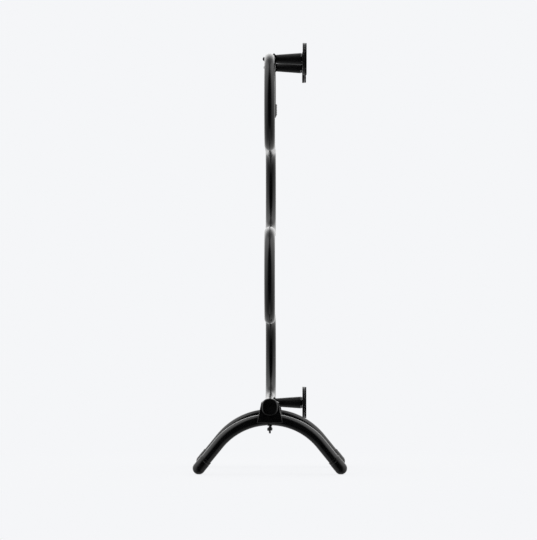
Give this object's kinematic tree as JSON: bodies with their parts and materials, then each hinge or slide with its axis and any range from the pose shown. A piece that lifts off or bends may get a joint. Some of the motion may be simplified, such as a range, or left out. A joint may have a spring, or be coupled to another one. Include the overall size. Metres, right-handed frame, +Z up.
{
  "type": "towel rail",
  "caption": "Free-standing towel rail: a gloss-black serpentine tube on arched tube feet, with conical stand-offs and round flanges that meet a wall.",
  "frame": {"origin": "on the floor, at the middle of the box around the whole object, under the rail's plane", "axes": "+Z up; +X from the rail to the wall; Y along the bars, with the rail's free lower end on the -Y side"},
  "size_m": [0.3612, 0.6, 1.0075],
  "materials": {
    "gloss_black_paint": "gloss black powder coat",
    "satin_black_paint": "satin black powder coat",
    "black_plastic": "satin moulded black",
    "black_rubber": "soft matte black rubber",
    "dark_steel": "blackened zinc-plated steel",
    "bright_steel": "zinc-plated steel"
  },
  "bodies": {
    "frame": {"rail_tube": "gloss_black_paint", "upper_end_cap": "black_plastic", "lower_end_plug": "black_plastic", "near_foot_tube": "gloss_black_paint", "near_left_foot_cap": "black_plastic", "near_right_foot_cap": "black_plastic", "near_saddle_bracket": "black_plastic", "near_threaded_insert": "bright_steel", "near_stud": "dark_steel", "near_stud_washer": "dark_steel", "far_foot_tube": "gloss_black_paint", "far_left_foot_cap": "black_plastic", "far_right_foot_cap": "black_plastic", "far_saddle_bracket": "black_plastic", "far_threaded_insert": "bright_steel", "far_stud": "dark_steel", "far_stud_washer": "dark_steel", "top_near_saddle_gasket": "black_rubber", "top_near_cone": "satin_black_paint", "top_near_through_screw": "dark_steel", "top_near_hex_nut": "bright_steel", "top_near_collar": "dark_steel", "top_near_flange_plate": "satin_black_paint", "top_near_wall_pad": "black_rubber", "top_far_saddle_gasket": "black_rubber", "top_far_cone": "satin_black_paint", "top_far_through_screw": "dark_steel", "top_far_hex_nut": "bright_steel", "top_far_collar": "dark_steel", "top_far_flange_plate": "satin_black_paint", "top_far_wall_pad": "black_rubber", "bottom_saddle_gasket": "black_rubber", "bottom_cone": "satin_black_paint", "bottom_through_screw": "dark_steel", "bottom_hex_nut": "bright_steel", "bottom_collar": "dark_steel", "bottom_flange_plate": "satin_black_paint", "bottom_wall_pad": "black_rubber"},
    "near_nut": {"near_wing_nut": "dark_steel"},
    "far_nut": {"far_wing_nut": "dark_steel"}
  },
  "joints": [
    {"name": "near_nut_spin", "type": "hinge", "parent": "frame", "child": "near_nut", "pos_m": [0, -0.165, 0.106], "axis": [0, 0, 1], "continuous": true},
    {"name": "far_nut_spin", "type": "hinge", "parent": "frame", "child": "far_nut", "pos_m": [0, 0.165, 0.106], "axis": [0, 0, 1], "continuous": true}
  ]
}
